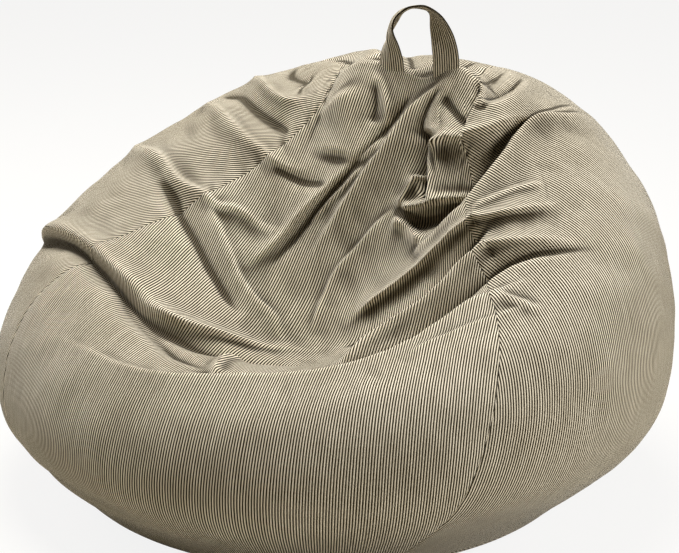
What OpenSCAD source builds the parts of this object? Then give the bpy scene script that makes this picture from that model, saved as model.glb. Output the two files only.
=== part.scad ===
// Bean bag chair: four corduroy gores, a round base with a zip at its rear edge, a strap handle
// sewn into the top seam, and a zipped inner bag that holds the bead filling.
// The origin is the centre of the round base on the floor, +Z is up and the seat faces -Y.

/* [Bag] */
// Height of the top seam above the floor
bag_h = 575; // [550:5:600]
// Radius of the zip's centre line, at the edge of the round base
zip_r = 375; // [370:1:380]
// Bulge of the sides past the base seam, as a part of the full bulge
bulge = 1; // [0.9:0.01:1.04]
// Half of the top seam's length
top_half = 118; // [100:1:124]
// Droop of the top seam's two ends below its middle
droop = 42; // [20:1:50]
// Thickness of the corduroy
cloth_t = 2.5; // [2:0.1:3]
// Depth of the folds, as a part of their full depth
fold_depth = 1; // [0:0.05:1]

/* [Handle] */
// Width of the strap
strap_w = 40; // [30:1:42]
// Thickness of the folded strap
strap_t = 3; // [2:0.1:4]
// Height of the loop above the top seam
loop_h = 97; // [80:1:110]
// Distance between the middles of the loop's legs
loop_w = 82; // [70:1:90]
// Distance of the loop from the middle of the top seam, to the right
loop_x = 22; // [0:1:30]

/* [Zips] */
// Width of one woven tape
tape_w = 12; // [10:0.5:12]
// Thickness of the tape
tape_t = 0.8; // [0.5:0.1:1]
// Width of the closed chain of teeth
chain_w = 6; // [5:0.5:7]
// Thickness of the chain
chain_t = 2.2; // [1.8:0.1:2.4]
// Length of the slider
slider_l = 12; // [10:0.5:14]
// Length of the pull tab
pull_l = 22; // [16:1:24]
// Length of the inner bag's zip
liner_zip_l = 400; // [300:10:440]

/* [Inner bag] */
// Thickness of the lining cloth
liner_t = 1; // [0.8:0.1:1.2]
// Height of the inner bag's flat bottom above the floor
liner_floor = 9; // [9:0.5:11]

/* [Hidden] */

corduroy = [0.66, 0.61, 0.52];
lining = [0.90, 0.89, 0.86];
beads_white = [0.96, 0.96, 0.95];
tape_brown = [0.47, 0.42, 0.34];
teeth_brown = [0.36, 0.31, 0.25];
zinc = [0.62, 0.60, 0.56];

// The skin is drawn by bearing and rise. Bearing 0 is the front, 90 the right side (+X) and
// 180 the back, and the two sides have like profiles. Rise is 0 at the base seam and 1 at the
// top seam. Each profile lists its points as [out from the centre line, up].
base_z = 30;
cone = sqrt(0.5);
seam_r = zip_r - tape_w * cone;
seam_z = base_z - tape_w * cone;
full = 366.5;
function bulged(out) = seam_r + (out - full) * bulge;
hem = [[366.5, seam_z], [392, 47], [443, 88]];
PROFILES = [
    [[472, 145], [460, 225], [420, 268], [350, 262], [255, 215], [160, 260], [75, 430], [0, 575]],
    [[486, 145], [484, 240], [430, 320], [330, 335], [240, 330], [160, 380], [80, 490], [0, 575]],
    [[500, 145], [492, 275], [440, 390], [355, 462], [260, 495], [165, 512], [85, 550], [0, 575]],
    [[485, 150], [478, 285], [420, 420], [330, 512], [235, 555], [150, 570], [75, 575], [0, 575]],
    [[470, 155], [465, 280], [400, 420], [305, 515], [210, 560], [130, 575], [65, 580], [0, 575]],
];
// The centre line leans back and to the right as it rises
CENTRE = [
    [0, 0], [0, 0], [0, 0], [5, 5], [10, 30], [20, 60], [30, 100], [36, 135], [42, 160],
    [44, 172], [44, 178],
];
tip = CENTRE[len(CENTRE) - 1];

// Bearings of the four upright seams, at even steps of the rise from 0 to 1. They end at the
// two ends of the top seam, which stand at 45 degrees to the left and right.
end_bearing = 45;
SEAM_FRONT_LEFT = [-40, -43, -49, -57, -68, -end_bearing];
SEAM_FRONT_RIGHT = [41, 44, 50, 54, 55, end_bearing];
SEAM_BACK_RIGHT = [135, 136, 138, 144, 149, 180 - end_bearing];
SEAM_BACK_LEFT = [225, 226, 228, 233, 236, 180 + end_bearing];

// Main folds: [points as bearing and rise, half width, height], a groove's height is negative
FOLDS = [
    [[[2, 0.76], [15, 0.79], [39, 0.79], [53, 0.77], [63, 0.73], [78, 0.64]], 26, 16],
    [[[20, 0.57], [29, 0.64], [45, 0.67], [58, 0.68], [67, 0.63], [80, 0.56]], 30, 18],
    [[[22, 0.93], [56, 0.92], [87, 0.86], [107, 0.77], [124, 0.65], [134, 0.58]], 28, 12],
    [[[34, 0.84], [60, 0.83], [84, 0.83], [103, 0.78], [122, 0.66]], 20, -13],
    [[[46, 0.82], [60, 0.81], [84, 0.80], [101, 0.75], [118, 0.64]], 20, 6],
    [[[90, 0.90], [104, 0.87], [126, 0.78], [156, 0.60]], 22, 7],
    [[[22, 0.98], [8, 0.96], [-5, 0.91], [-16, 0.86], [-22, 0.80], [-25, 0.72]], 24, 17],
    [[[14, 0.88], [-2, 0.84], [-9, 0.79], [-6, 0.74]], 20, 12],
    [[[-150, 0.58], [-122, 0.63], [-102, 0.74], [-89, 0.81], [-78, 0.89]], 24, 9],
    [[[-124, 0.71], [-108, 0.79], [-98, 0.89]], 24, -9],
    [[[-107, 0.62], [-86, 0.77], [-60, 0.86]], 20, -8],
    [[[-140, 0.53], [-112, 0.58], [-89, 0.70], [-65, 0.79], [-32, 0.87]], 20, 7],
    [[[-58, 0.80], [-40, 0.85], [-24, 0.88]], 20, -10],
    [[[-135, 0.49], [-104, 0.53], [-85, 0.58], [-62, 0.68], [-50, 0.74], [-34, 0.80]], 20, 9],
    [[[-60, 0.68], [-41, 0.70], [-21, 0.72], [-10, 0.70]], 20, 10],
    [[[-34, 0.59], [-23, 0.63], [-12, 0.68], [6, 0.74]], 20, 6],
    [[[-24, 0.60], [-12, 0.65], [0, 0.68]], 20, -10],
    [[[-110, 0.40], [-86, 0.43], [-63, 0.51], [-44, 0.56], [-24, 0.58], [-16, 0.56]], 26, -15],
    [[[-125, 0.43], [-90, 0.46], [-64, 0.53], [-44, 0.58]], 22, 11],
];

// Grid of the panels: rows along the rise, columns across each gore
rows = 48;
zip_row = 3;
front_columns = 28;
side_columns = 26;
back_columns = 14;
liner_rows = 16;
liner_columns = 7;

// The inner bag and the beads follow the skin, drawn in towards the point below the seat
LINER_SCALE = [0.91, 0.91, 0.87];
BEAD_SCALE = [0.888, 0.888, 0.825];
shrink_point = [15, 20, 0];
bead_floor = liner_floor + 4 * liner_t;

// The zip: its ends, its slope and the play round the chain
zip_span = 89;
zip_start = 45.5;
stop_l = 4;
seam_gap = 0.5;
play = 0.15;
plate_t = 1.2;
bridge_t = 1.4;
bridge_h = 3.2;
pull_w = 7;
pull_t = 1.5;
base_arc_r = 73.4;
chain_mid = -cloth_t / 2;
slider_turn = 1.2;

// Lengths along the chain as angles about the base's centre
function arc_deg(l) = l / zip_r * 180 / PI;

// Weight of the profile at k * 45 degrees at bearing b: a cosine series through five profiles
function half_end(k) = k == 0 || k == 4 ? 0.5 : 1;
function weight(b, j) =
    half_end(j) / 2 * [for (k = [0:4]) half_end(k) * cos(45 * k * j) * cos(k * b)] * [1, 1, 1, 1, 1];
function blended(b) =
    let (w = [for (j = [0:4]) weight(b, j)])
    concat(
        [for (p = hem) [bulged(p[0]), p[1]]],
        [for (i = [0:7]) let (p = w * [for (j = [0:4]) PROFILES[j][i]])
            [(p[0] > 1 ? bulged(p[0]) * min(1, p[0] / 60) : 0), p[1] * bag_h / 575]]
    );

// Point of a clamped cubic spline through the control list c, at t from 0 to 1
function control(c, k) =
    k < 0 ? 2 * c[0] - c[1] :
    k >= len(c) ? 2 * c[len(c) - 1] - c[len(c) - 2] : c[k];
function spline(c, t) =
    let (x = min(t * (len(c) - 1), len(c) - 1 - 1e-6), i = floor(x), f = x - i)
    (pow(1 - f, 3) * control(c, i - 1) + (3 * pow(f, 3) - 6 * f * f + 4) * control(c, i)
        + (-3 * pow(f, 3) + 3 * f * f + 3 * f + 1) * control(c, i + 1)
        + pow(f, 3) * control(c, i + 2)) / 6;

// The skin without its folds
function skin(b, t, profile) =
    let (
        p = spline(profile, t),
        c = spline(CENTRE, t),
        side = max(-1, min(1, sin(b) / sin(end_bearing))),
        spread = top_half * pow(max(0, t / 0.4 - 1.5), 2),
        drop = droop * pow(max(0, t / 0.2 - 4), 2) * pow(abs(side), 3)
    )
    [c[0] + p[0] * sin(b) + spread * side, c[1] - p[0] * cos(b), p[1] - drop];
function skin_at(b, t) = skin(b, t, blended(b));

// Outward direction of the skin, straight up along the top seam
function unit(v) = v / norm(v);
function outward(b, t) =
    t > 0.995 ? [0, 0, 1] :
    let (u = min(t, 0.98), p = blended(b))
    unit(cross(skin_at(b + 0.5, u) - skin_at(b - 0.5, u), skin(b, u + 0.01, p) - skin(b, u - 0.01, p)));

// Height of all folds at a point of the skin
fold_end = 0.10;
FOLD_LINES = [for (f = FOLDS) [[for (p = f[0]) skin_at(p[0], p[1])], f[1], f[2] * fold_depth]];
function segment_gap(p, a, b) =
    norm(p - a - (b - a) * max(0, min(1, (p - a) * (b - a) / ((b - a) * (b - a)))));
function fold_lift(p, f) =
    let (gap = min([for (i = [0:len(f[0]) - 2]) segment_gap(p, f[0][i], f[0][i + 1])]))
    gap > 3 * f[1] ? 0 : f[2] * exp(-pow(gap / f[1], 2));
function lift(p) = [for (f = FOLD_LINES) fold_lift(p, f)] * [for (f = FOLD_LINES) 1];

// Two layers of points, the outer one folded, as [outer, inner]. The folds end below the top seam.
function layers(b, t, thickness) =
    let (p = skin_at(b, t), n = outward(b, t), q = p + n * lift(p) * min(1, (1 - t) / fold_end))
    [q, q - n * thickness];
function drawn_in(p, scale) =
    [for (k = [0:2]) shrink_point[k] + (p[k] - shrink_point[k]) * scale[k]];
function lining_layers(b, t) =
    let (p = drawn_in(skin_at(b, t), LINER_SCALE))
    [p, p - unit(p - [tip[0], tip[1] / 2, 150]) * liner_t];

// A cloth shell of rows of points from low to high, each point as [outer, inner]. A pointed
// shell ends in one point.
module shell(grid, pointed = false) {
    m = len(grid[0]);
    n = len(grid);
    last = n - 1;
    count = m * last + (pointed ? 1 : m);
    flat = [for (r = [0:last]) for (c = [0:(pointed && r == last ? 0 : m - 1)]) grid[r][c]];
    function at(r, c) = r * m + (pointed && r == last ? 0 : c);
    faces = [
        for (r = [0:last - 1]) for (c = [0:m - 2]) each [
            [at(r, c), at(r + 1, c), at(r, c + 1)],
            [count + at(r, c), count + at(r, c + 1), count + at(r + 1, c)],
            if (!(pointed && r == last - 1)) each [
                [at(r, c + 1), at(r + 1, c), at(r + 1, c + 1)],
                [count + at(r, c + 1), count + at(r + 1, c + 1), count + at(r + 1, c)],
            ],
        ],
        for (c = [0:m - 2]) each [
            [at(0, c), at(0, c + 1), count + at(0, c + 1)],
            [at(0, c), count + at(0, c + 1), count + at(0, c)],
            if (!pointed) each [
                [at(last, c + 1), at(last, c), count + at(last, c)],
                [at(last, c + 1), count + at(last, c), count + at(last, c + 1)],
            ],
        ],
        for (r = [0:last - 1]) each [
            [at(r + 1, 0), at(r, 0), count + at(r, 0)],
            [at(r + 1, 0), count + at(r, 0), count + at(r + 1, 0)],
            [at(r, m - 1), at(r + 1, m - 1), count + at(r, m - 1)],
            [at(r + 1, m - 1), count + at(r + 1, m - 1), count + at(r, m - 1)],
        ],
    ];
    polyhedron(concat([for (p = flat) p[0]], [for (p = flat) p[1]]), faces, convexity = 10);
}

// One gore between two seams, from a first row up
module gore(seam_a, seam_b, columns, pointed, first_row = 0) {
    grid = [
        for (r = [first_row:rows]) let (t = r / rows, a = spline(seam_a, t), b = spline(seam_b, t))
            [for (c = [0:columns]) layers(a + (b - a) * c / columns, t, cloth_t)],
    ];
    color(corduroy) shell(grid, pointed);
}

module liner_gore(from, to, pointed) {
    grid = [
        for (r = [0:liner_rows]) let (t = r / liner_rows)
            [for (c = [0:liner_columns]) lining_layers(from + (to - from) * c / liner_columns, t)],
    ];
    color(lining) shell(grid, pointed);
}

module front_panel() { gore(SEAM_FRONT_LEFT, SEAM_FRONT_RIGHT, front_columns, false); }

module right_side_panel() { gore(SEAM_FRONT_RIGHT, SEAM_BACK_RIGHT, side_columns, true); }

module back_panel() { gore(SEAM_BACK_RIGHT, SEAM_BACK_LEFT, back_columns, false, zip_row); }

module left_side_panel() {
    gore(SEAM_BACK_LEFT, [for (a = SEAM_FRONT_LEFT) a + 360], side_columns, true);
}

// Section of the round base: flat on the floor, then curved up to meet the slope of the zip
module base_panel() {
    flat_r = seam_r - base_arc_r * cone;
    arc = [for (a = [0:5:40]) a];
    section = concat(
        [[0, 0]],
        [for (a = arc) [flat_r + base_arc_r * sin(a), base_arc_r * (1 - cos(a))]],
        [cone_point(-tape_w - seam_gap, 0), cone_point(-tape_w - seam_gap, -cloth_t)],
        [for (a = [40:-5:0]) [flat_r + (base_arc_r - cloth_t) * sin(a),
            base_arc_r - (base_arc_r - cloth_t) * cos(a)]],
        [[0, cloth_t]]
    );
    color(corduroy) rotate_extrude($fn = 120) polygon(section);
}

// The strap: a ribbon that stands on the top seam, goes over in an arch and turns on the way.
// Each row is [across from the loop's middle, back, up, turn of its width from the seam's line]
STRAP = [
    [-0.50, 0, 0.00, 0], [-0.54, 0, 0.22, 4], [-0.56, 0, 0.45, 30], [-0.50, -4, 0.70, 62],
    [-0.30, -4, 0.93, 80], [0.00, -2, 1.03, 86], [0.26, 0, 1.00, 74], [0.46, 0, 0.78, 40],
    [0.54, 0, 0.50, 16], [0.54, 0, 0.24, 4], [0.50, 0, 0.00, 0],
];
strap_rings = 30;
strap_foot = 3;
function strap_mid(t) =
    let (s = spline(STRAP, t))
    [tip[0] + loop_x + s[0] * loop_w, tip[1] + s[1], bag_h + strap_foot + s[2] * (loop_h - strap_foot - 2)];
function strap_ring(t) =
    let (
        e = 0.004,
        along = t < e || t > 1 - e ? [0, 0, t < 0.5 ? 1 : -1]
            : unit(strap_mid(min(1, t + e)) - strap_mid(max(0, t - e))),
        turn = spline(STRAP, t)[3],
        raw = [cos(turn), -sin(turn), 0],
        across = unit(raw - along * (raw * along)),
        face = cross(along, across),
        w = strap_w / 2,
        h = strap_t / 2,
        edge = strap_t / 3
    )
    [for (q = [[w - edge, h], [-w + edge, h], [-w, 0], [-w + edge, -h], [w - edge, -h], [w, 0]])
        strap_mid(t) + across * q[0] + face * q[1]];

module carry_handle() {
    rings = [for (i = [0:strap_rings]) strap_ring(i / strap_rings)];
    m = len(rings[0]);
    sides = [
        for (i = [0:strap_rings - 1]) for (k = [0:m - 1]) let (l = (k + 1) % m) each [
            [i * m + k, i * m + l, (i + 1) * m + k],
            [i * m + l, (i + 1) * m + l, (i + 1) * m + k],
        ],
    ];
    ends = [[for (k = [m - 1:-1:0]) k], [for (k = [0:m - 1]) strap_rings * m + k]];
    color(corduroy) polyhedron([for (r = rings) each r], concat(sides, ends), convexity = 6);
}

// A point of the zip's section: up the slope from the middle of the chain, and out of the cloth
function cone_point(up, out) =
    [zip_r + (up + out) * cone, base_z + (up - out) * cone];
module on_cone(low, high, inner, outer) {
    polygon([cone_point(low, inner), cone_point(low, outer), cone_point(high, outer),
        cone_point(high, inner)]);
}
module along_zip(start, span) {
    rotate([0, 0, start]) rotate_extrude(angle = span, $fn = 180) children();
}

module zipper_tape_upper() {
    color(tape_brown) along_zip(zip_start, zip_span) difference() {
        on_cone(0, tape_w - 2 * seam_gap, chain_mid - tape_t / 2, chain_mid + tape_t / 2);
        on_cone(-1, chain_w / 2, chain_mid - chain_t / 2, chain_mid + chain_t / 2);
    }
}
module zipper_tape_lower() {
    color(tape_brown) along_zip(zip_start, zip_span) difference() {
        on_cone(-tape_w, 0, chain_mid - tape_t / 2, chain_mid + tape_t / 2);
        on_cone(-chain_w / 2, 1, chain_mid - chain_t / 2, chain_mid + chain_t / 2);
    }
}
module teeth_row(low, high) {
    stop_turn = arc_deg(stop_l);
    color(teeth_brown) along_zip(zip_start + stop_turn, zip_span - 2 * stop_turn)
        on_cone(low, high, chain_mid - chain_t / 2, chain_mid + chain_t / 2);
}
module zipper_teeth_upper() { teeth_row(0, chain_w / 2); }
module zipper_teeth_lower() { teeth_row(-chain_w / 2, 0); }

// One stop clamps both rows where the chain opens last, and one for each row at the other end
module zipper_bottom_stop() {
    color(zinc) along_zip(zip_start + zip_span - arc_deg(stop_l), arc_deg(stop_l))
        on_cone(-chain_w / 2, chain_w / 2, chain_mid - chain_t / 2, chain_mid + chain_t / 2);
}
module zipper_top_stops() {
    color(zinc) along_zip(zip_start, arc_deg(stop_l)) {
        on_cone(0.4, chain_w / 2, chain_mid - chain_t / 2, chain_mid + chain_t / 2);
        on_cone(-chain_w / 2, -0.4, chain_mid - chain_t / 2, chain_mid + chain_t / 2);
    }
}

// The slider's two plates lie on the two faces of the chain, and a bridge holds the tab's pin
slider_start = zip_start + slider_turn;
slider_span = arc_deg(slider_l);
slider_mid = slider_start + slider_span / 2;
plate_half = chain_w / 2 + 1.5;
outer_low = chain_mid + chain_t / 2 + play;
inner_low = chain_mid - chain_t / 2 - play;
pin_out = outer_low + plate_t + bridge_h / 2;
module zipper_slider() {
    bridge_half = 1.6;
    leg = arc_deg(bridge_t);
    lean = arc_deg(1.6);
    color(zinc) {
        along_zip(slider_start, slider_span) on_cone(-plate_half, plate_half, outer_low,
            outer_low + plate_t);
        along_zip(slider_start, slider_span) on_cone(-plate_half, plate_half,
            inner_low - plate_t, inner_low);
        for (start = [slider_start + lean, slider_start + slider_span - lean - leg])
            along_zip(start, leg) on_cone(-bridge_half, bridge_half, outer_low + plate_t,
                outer_low + plate_t + bridge_h);
        along_zip(slider_start + lean, slider_span - 2 * lean) on_cone(-bridge_half, bridge_half,
            outer_low + plate_t + bridge_h, outer_low + plate_t + bridge_h + bridge_t);
    }
}

// The tab hangs from the bridge on an eye. Drawn with its pin axis along X and hanging along -Z,
// then set on the slope.
module zipper_pull() {
    arm_l = 5.7;
    arm_w = 1.6;
    p = cone_point(0, pin_out);
    color(zinc) rotate([0, 0, slider_mid]) translate([p[0], 0, p[1]]) rotate([0, -45, 0])
        difference() {
            union() {
                translate([-pull_w / 2, -pull_t / 2, -pull_l])
                    cube([pull_w, pull_t, pull_l - arm_l]);
                for (x = [-pull_w / 2, pull_w / 2 - arm_w])
                    translate([x, -pull_t / 2, -arm_l - 1]) cube([arm_w, pull_t, arm_l + 1]);
                translate([-pull_w / 2, 0, 0]) rotate([0, 90, 0])
                    cylinder(h = pull_w, r = pull_t / 2, $fn = 24);
            }
            translate([0, pull_t, -pull_l + 5]) rotate([90, 0, 0])
                cylinder(h = 2 * pull_t, r = 1.6, $fn = 24);
        }
}

module liner_front_gore() { liner_gore(-end_bearing, end_bearing, false); }
module liner_right_gore() { liner_gore(end_bearing, 180 - end_bearing, true); }
module liner_back_gore() { liner_gore(180 - end_bearing, 180 + end_bearing, false); }
module liner_left_gore() { liner_gore(180 + end_bearing, 360 - end_bearing, true); }

// Bottom of the inner bag: a flat ring cloth with a straight slot for its zip
liner_seam_r = seam_r * LINER_SCALE[0] - 1;
liner_seam_z = seam_z * LINER_SCALE[2];
liner_tape_w = 13;
module liner_base_panel() {
    flat_r = 300;
    color(lining) difference() {
        translate([shrink_point[0] * (1 - LINER_SCALE[0]), shrink_point[1] * (1 - LINER_SCALE[1]), 0])
            rotate_extrude($fn = 120) polygon([
                [0, liner_floor], [flat_r, liner_floor], [liner_seam_r - 1, liner_seam_z - 1],
                [liner_seam_r - 1, liner_seam_z - 1 + liner_t], [flat_r, liner_floor + liner_t],
                [0, liner_floor + liner_t],
            ]);
        translate([-liner_zip_l / 2, -liner_tape_w, liner_floor - 1])
            cube([liner_zip_l, 2 * liner_tape_w, liner_t + 2]);
    }
}
module liner_zipper_tapes() {
    color(lining) for (side = [0, 1]) mirror([0, side, 0])
        translate([-liner_zip_l / 2, chain_w / 2, liner_floor + 0.1])
            cube([liner_zip_l, liner_tape_w - chain_w / 2, tape_t]);
}
module liner_zipper_teeth() {
    color(beads_white) for (side = [0, 1]) mirror([0, side, 0])
        translate([-liner_zip_l / 2, 0, liner_floor + 0.5 - chain_t / 2])
            cube([liner_zip_l, chain_w / 2, chain_t]);
}
liner_slider_x = -liner_zip_l / 2 + 5;
module liner_zipper_slider() {
    mid = liner_floor + 0.5;
    color(zinc) for (z = [mid + chain_t / 2 + play, mid - chain_t / 2 - play - plate_t])
        translate([liner_slider_x, -plate_half, z]) cube([slider_l, 2 * plate_half, plate_t]);
}

// The beads as one closed body: rings of the drawn-in skin over a flat round bottom
module bead_filling() {
    turns = 32;
    steps = 14;
    rings = [
        [for (c = [0:turns - 1]) let (b = c * 360 / turns, p = drawn_in(skin_at(b, 0), BEAD_SCALE))
            [p[0] * 0.88, p[1] * 0.88, bead_floor]],
        for (r = [0:steps - 1]) [for (c = [0:turns - 1])
            let (p = drawn_in(skin_at(c * 360 / turns, r / steps), BEAD_SCALE)) p],
    ];
    n = len(rings);
    top = drawn_in([tip[0], tip[1], bag_h], BEAD_SCALE);
    crown = n * turns;
    faces = [
        [for (c = [0:turns - 1]) c],
        for (r = [0:n - 2]) for (c = [0:turns - 1]) let (d = (c + 1) % turns) each [
            [r * turns + c, (r + 1) * turns + c, r * turns + d],
            [r * turns + d, (r + 1) * turns + c, (r + 1) * turns + d],
        ],
        for (c = [0:turns - 1]) [(n - 1) * turns + c, crown, (n - 1) * turns + (c + 1) % turns],
    ];
    color(beads_white) polyhedron(concat([for (r = rings) each r], [top]), faces, convexity = 6);
}

front_panel();
right_side_panel();
back_panel();
left_side_panel();
base_panel();
carry_handle();
zipper_tape_upper();
zipper_tape_lower();
zipper_teeth_upper();
zipper_teeth_lower();
zipper_bottom_stop();
zipper_top_stops();
zipper_slider();
zipper_pull();
liner_front_gore();
liner_right_gore();
liner_back_gore();
liner_left_gore();
liner_base_panel();
liner_zipper_tapes();
liner_zipper_teeth();
liner_zipper_slider();
bead_filling();
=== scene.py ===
"""Bean bag chair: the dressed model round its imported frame."""

import math
from typing import NamedTuple

import bpy
import numpy as np
from bpy.props import FloatProperty, FloatVectorProperty, PointerProperty
from mathutils import Matrix, Vector


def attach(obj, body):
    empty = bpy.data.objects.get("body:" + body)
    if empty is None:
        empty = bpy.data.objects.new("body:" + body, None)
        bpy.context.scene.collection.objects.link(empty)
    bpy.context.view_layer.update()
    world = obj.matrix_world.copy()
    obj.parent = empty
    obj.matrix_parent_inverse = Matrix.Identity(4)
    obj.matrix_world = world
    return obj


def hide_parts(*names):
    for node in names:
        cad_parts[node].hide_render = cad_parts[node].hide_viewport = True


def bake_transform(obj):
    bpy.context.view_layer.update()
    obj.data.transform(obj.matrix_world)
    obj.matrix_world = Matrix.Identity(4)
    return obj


bl_info = {
    "name": "Bean bag chair",
    "version": (1, 0, 0),
    "blender": (4, 5, 0),
    "location": "View3D > Sidebar > Bean bag",
    "description": "Makes the gores, strap, zips, inner bag and beads of a corduroy bean bag chair",
    "category": "Object",
}

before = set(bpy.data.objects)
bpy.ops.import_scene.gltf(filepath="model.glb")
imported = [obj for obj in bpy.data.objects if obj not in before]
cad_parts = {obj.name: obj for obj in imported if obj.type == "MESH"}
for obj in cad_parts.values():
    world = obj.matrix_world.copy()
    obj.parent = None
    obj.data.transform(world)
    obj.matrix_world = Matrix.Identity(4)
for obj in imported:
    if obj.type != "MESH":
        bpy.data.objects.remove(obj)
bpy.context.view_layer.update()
MM = 0.001

# --- The skin: the same surface as the frame's, by bearing in degrees and rise from 0 to 1 ---------
# Bearing 0 is the front, 90 the right side (+X) and 180 the back. Rise is 0 at the base seam and 1
# at the top seam. Each profile lists its points in mm as (out from the centre line, up).

HEM = [(366.5, 21.5), (392, 47), (443, 88)]
PROFILES = [
    [(472, 145), (460, 225), (420, 268), (350, 262), (255, 215), (160, 260), (75, 430), (0, 575)],
    [(486, 145), (484, 240), (430, 320), (330, 335), (240, 330), (160, 380), (80, 490), (0, 575)],
    [(500, 145), (492, 275), (440, 390), (355, 462), (260, 495), (165, 512), (85, 550), (0, 575)],
    [(485, 150), (478, 285), (420, 420), (330, 512), (235, 555), (150, 570), (75, 575), (0, 575)],
    [(470, 155), (465, 280), (400, 420), (305, 515), (210, 560), (130, 575), (65, 580), (0, 575)],
]
CENTRE = [
    (0, 0), (0, 0), (0, 0), (5, 5), (10, 30), (20, 60), (30, 100), (36, 135), (42, 160),
    (44, 172), (44, 178),
]
TOP_HALF = 118 * MM
DROOP = 42 * MM
END_BEARING = 45
SEAMS = {
    "front_left": (-40, -43, -49, -57, -68, -END_BEARING),
    "front_right": (41, 44, 50, 54, 55, END_BEARING),
    "back_right": (135, 136, 138, 144, 149, 180 - END_BEARING),
    "back_left": (225, 226, 228, 233, 236, 180 + END_BEARING),
}


def spline(controls, t):
    """Points of a clamped cubic spline through a control list, at each t from 0 to 1."""
    c = np.asarray(controls, float)
    c = np.concatenate([[2 * c[0] - c[1]], c, [2 * c[-1] - c[-2]]])
    x = np.clip(np.asarray(t, float) * (len(c) - 3), 0, len(c) - 3 - 1e-9)
    i = x.astype(int)
    f = x - i
    weights = [(1 - f) ** 3, 3 * f**3 - 6 * f**2 + 4, -3 * f**3 + 3 * f**2 + 3 * f + 1, f**3]
    tail = (1,) * (c.ndim - 1)
    return sum(c[i + k] * w.reshape(w.shape + tail) for k, w in enumerate(weights)) / 6


def profile_weights(bearing):
    """Weights of the five profiles at each bearing: a cosine series through all of them."""
    half_end = [0.5, 1, 1, 1, 0.5]
    angle = np.radians(bearing)
    return np.stack(
        [
            half_end[j] / 2 * sum(
                half_end[k] * math.cos(math.pi / 4 * k * j) * np.cos(k * angle) for k in range(5)
            )
            for j in range(5)
        ],
        -1,
    )


def skin(bearing, rise):
    """Points of the skin without its folds, in metres."""
    controls = np.array([HEM + profile for profile in PROFILES]) * MM
    by_profile = np.stack([spline(c, rise) for c in controls], -2)
    out_up = (by_profile * profile_weights(bearing)[..., None]).sum(-2)
    centre = spline(np.array(CENTRE) * MM, rise)
    angle = np.radians(bearing)
    side = np.clip(np.sin(angle) / math.sin(math.radians(END_BEARING)), -1, 1)
    spread = TOP_HALF * np.clip(rise / 0.4 - 1.5, 0, None) ** 2
    drop = DROOP * np.clip(rise / 0.2 - 4, 0, None) ** 2 * np.abs(side) ** 3
    return np.stack(
        [
            centre[..., 0] + out_up[..., 0] * np.sin(angle) + spread * side,
            centre[..., 1] - out_up[..., 0] * np.cos(angle),
            out_up[..., 1] - drop,
        ],
        -1,
    )


def unit(v):
    return v / np.maximum(np.linalg.norm(v, axis=-1, keepdims=True), 1e-12)


def outward(bearing, rise):
    """Outward directions of the skin."""
    r = np.clip(rise, 0.002, 0.985)
    across = skin(bearing + 0.5, r) - skin(bearing - 0.5, r)
    along = skin(bearing, r + 0.002) - skin(bearing, r - 0.002)
    return unit(np.cross(across, along))


# --- Folds ------------------------------------------------------------------------------------------


class Fold(NamedTuple):
    """A fold along a line on the skin. Left and right are as seen from outside, going along it."""

    line: list  # (bearing, rise)
    left: float  # half width on the left, mm
    right: float  # half width on the right, mm
    height: float  # mm, and less than 0 for a crease
    sharp: float = 1.5  # 1 is a sharp edge and 2 a round one
    lean: float = 0.0  # how far the crest leans over to the right, mm
    start: float = 0.2  # part of the line over which it grows
    end: float = 0.2  # part of the line over which it dies away


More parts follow.
